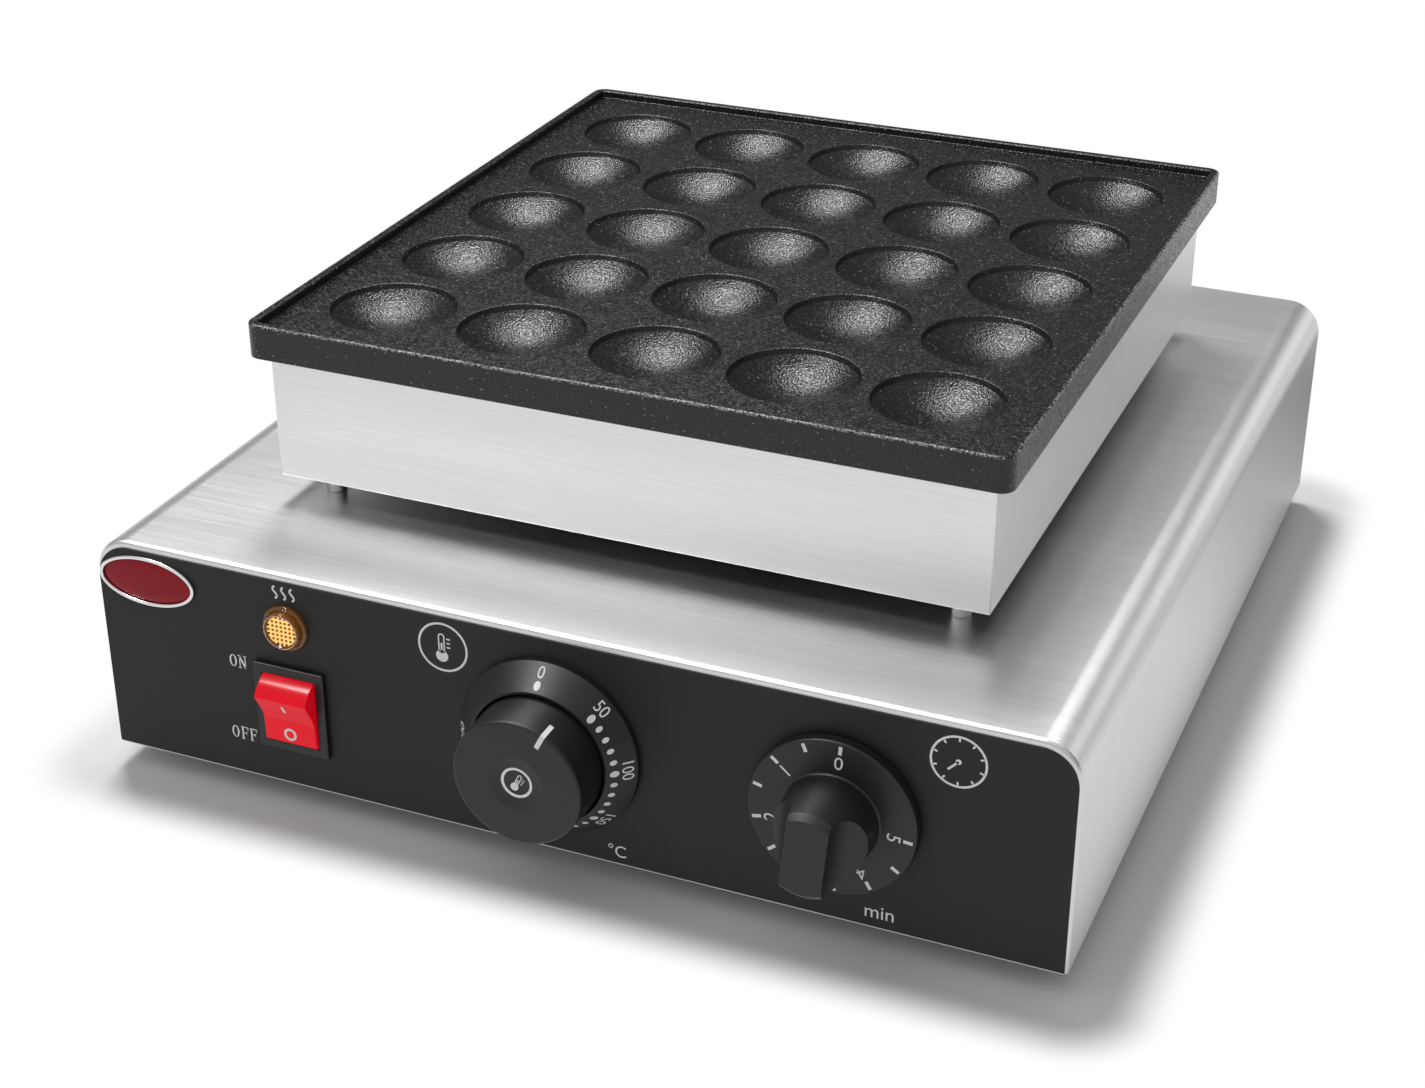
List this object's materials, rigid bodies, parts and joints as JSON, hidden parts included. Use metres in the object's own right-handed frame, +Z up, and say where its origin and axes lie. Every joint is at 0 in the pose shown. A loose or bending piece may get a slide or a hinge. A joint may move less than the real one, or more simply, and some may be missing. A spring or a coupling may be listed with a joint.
{
  "type": "mini pancake maker",
  "caption": "Countertop maker for small round pancakes: a cast plate of shallow dishes on a heated steel box, over a folded steel base with rocker switch, lamp and two knobs.",
  "frame": {"origin": "on the table, under the middle of the whole object", "axes": "+X to the right as seen from the control panel, +Y from the panel to the back, +Z up"},
  "size_m": [0.34, 0.4026, 0.155],
  "materials": {
    "brushed_sheet": "stainless sheet, brushed left to right",
    "satin_sheet": "stainless sheet, satin",
    "black_fascia": "matt black print on thin sheet",
    "cast_plate": "cast aluminium with a black speckled non-stick coat",
    "bright_steel": "bright turned steel",
    "zinc_steel": "zinc-plated steel",
    "tube_steel": "dark annealed steel tube",
    "reflector_sheet": "bright thin sheet",
    "fibre_pad": "pressed mineral fibre",
    "brass": "plain brass",
    "foot_rubber": "matt moulded rubber",
    "black_nylon": "moulded nylon",
    "switch_black": "satin moulded plastic",
    "knob_black": "fine grained moulded plastic",
    "rocker_red": "clear red plastic",
    "lens_amber": "clear amber plastic, ribbed inside",
    "lamp_grey": "moulded plastic",
    "control_case": "moulded plastic",
    "badge_silver": "bright plated",
    "badge_red": "clear lacquer over red",
    "block_white": "glazed ceramic, weighed as plastic",
    "lead_red": "silicone lead"
  },
  "bodies": {
    "base": {"base_shell": "brushed_sheet", "front_panel": "brushed_sheet", "fascia": "black_fascia", "rear_panel": "brushed_sheet", "rear_screws": "zinc_steel", "bottom_plate": "brushed_sheet", "bottom_screws": "zinc_steel", "rubber_feet": "foot_rubber", "foot_screws": "zinc_steel", "foot_nuts": "zinc_steel", "cord_gland": "black_nylon", "gland_nut": "black_nylon", "heater_box": "satin_sheet", "spacer_posts": "bright_steel", "tie_rods": "bright_steel", "rod_washers": "zinc_steel", "rod_nuts": "zinc_steel", "baking_plate": "cast_plate", "heating_tubes": "tube_steel", "element_link": "brass", "element_clamps": "zinc_steel", "clamp_bolts": "zinc_steel", "heat_reflector": "reflector_sheet", "insulation_pad": "fibre_pad", "lead_conduit": "zinc_steel", "sensing_bulb": "brass", "bulb_clip": "zinc_steel", "capillary_tube": "brass", "switch_housing": "switch_black", "switch_terminals": "brass", "lamp_body": "lamp_grey", "lamp_lens": "lens_amber", "lamp_nut": "zinc_steel", "temperature_ring": "knob_black", "thermostat_body": "control_case", "thermostat_screws": "zinc_steel", "timer_case": "control_case", "timer_screws": "zinc_steel", "badge_rim": "badge_silver", "badge_inlay": "badge_red", "terminal_block": "block_white", "block_screws": "zinc_steel", "terminal_screws": "brass", "earth_stud": "brass", "wiring": "lead_red"},
    "rocker_body": {"rocker": "rocker_red"},
    "temperature_control": {"temperature_knob": "knob_black", "thermostat_shaft": "zinc_steel"},
    "timer_control": {"timer_knob": "knob_black", "timer_shaft": "zinc_steel"}
  },
  "joints": [
    {"name": "rocker_tilt", "type": "hinge", "parent": "base", "child": "rocker_body", "pos_m": [-0.097, -0.1693, 0.0388], "axis": [-1, 0, 0], "range_deg": [0, 30]},
    {"name": "temperature_turn", "type": "hinge", "parent": "base", "child": "temperature_control", "pos_m": [-0.0015, -0.1733, 0.0485], "axis": [0, 1, 0], "range_deg": [-27, 243]},
    {"name": "timer_turn", "type": "hinge", "parent": "base", "child": "timer_control", "pos_m": [0.095, -0.1733, 0.0485], "axis": [0, 1, 0], "range_deg": [0, 270]}
  ]
}
